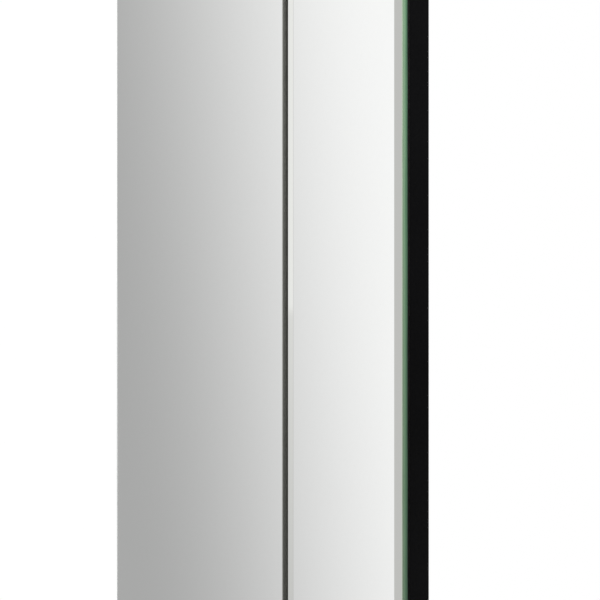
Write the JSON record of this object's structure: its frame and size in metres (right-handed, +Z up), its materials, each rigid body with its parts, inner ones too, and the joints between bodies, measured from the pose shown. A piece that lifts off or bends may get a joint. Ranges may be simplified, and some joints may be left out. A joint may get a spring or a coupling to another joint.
{
  "type": "wall mirror",
  "caption": "Rectangular wall mirror: plain centre pane inside bevelled mirror border strips with a dark groove between, on a black frame with hinged hanging rings and rubber bumpers.",
  "frame": {"origin": "centre of the frame's rear plane, on the rear face of the cross batten", "axes": "+Z up with the mirror upright, +X to the right seen from the front, +Y from the glass to the wall"},
  "size_m": [0.61, 0.023, 0.914],
  "materials": {
    "mirror_glass": "polished, silvered",
    "foam_tape": "matte foam",
    "black_paint": "matte black paint",
    "raw_fibreboard": "raw fibreboard",
    "raw_pine": "planed softwood",
    "zinc_plate": "zinc plated",
    "ring_steel": "nickel plated",
    "screw_steel": "zinc plated",
    "bumper_rubber": "matte"
  },
  "bodies": {
    "mirror": {"centre_mirror": "mirror_glass", "border_strip_left": "mirror_glass", "border_strip_right": "mirror_glass", "border_strip_top": "mirror_glass", "border_strip_bottom": "mirror_glass", "centre_tape_1": "foam_tape", "centre_tape_2": "foam_tape", "centre_tape_3": "foam_tape", "centre_tape_4": "foam_tape", "centre_tape_5": "foam_tape", "border_tape_left": "foam_tape", "border_tape_right": "foam_tape", "border_tape_top": "foam_tape", "border_tape_bottom": "foam_tape", "frame_rail_left": "black_paint", "frame_rail_right": "black_paint", "frame_rail_top": "black_paint", "frame_rail_bottom": "black_paint", "centre_board": "raw_fibreboard", "cross_batten": "raw_pine", "corner_plate_lower_left": "zinc_plate", "corner_plate_upper_left": "zinc_plate", "corner_plate_upper_right": "zinc_plate", "corner_plate_lower_right": "zinc_plate", "hanger_plate_left": "zinc_plate", "hanger_plate_right": "zinc_plate", "hanger_plate_top": "zinc_plate", "hanger_plate_bottom": "zinc_plate", "corner_plate_screws": "screw_steel", "hanger_screws": "screw_steel", "wall_bumper_lower_left": "bumper_rubber", "wall_bumper_upper_left": "bumper_rubber", "wall_bumper_upper_right": "bumper_rubber", "wall_bumper_lower_right": "bumper_rubber"},
    "ring_left": {"hanger_ring_left": "ring_steel"},
    "ring_right": {"hanger_ring_right": "ring_steel"},
    "ring_top": {"hanger_ring_top": "ring_steel"},
    "ring_bottom": {"hanger_ring_bottom": "ring_steel"}
  },
  "joints": [
    {"name": "ring_left_hinge", "type": "hinge", "parent": "mirror", "child": "ring_left", "pos_m": [-0.273, 0.0021, 0.257], "axis": [-1, 0, 0], "range_deg": [0, 174]},
    {"name": "ring_right_hinge", "type": "hinge", "parent": "mirror", "child": "ring_right", "pos_m": [0.273, 0.0021, 0.257], "axis": [-1, 0, 0], "range_deg": [0, 174]},
    {"name": "ring_top_hinge", "type": "hinge", "parent": "mirror", "child": "ring_top", "pos_m": [0.105, 0.0021, 0.425], "axis": [0, 0, 1], "range_deg": [0, 174]},
    {"name": "ring_bottom_hinge", "type": "hinge", "parent": "mirror", "child": "ring_bottom", "pos_m": [0.105, 0.0021, -0.425], "axis": [0, 0, 1], "range_deg": [0, 174]}
  ]
}
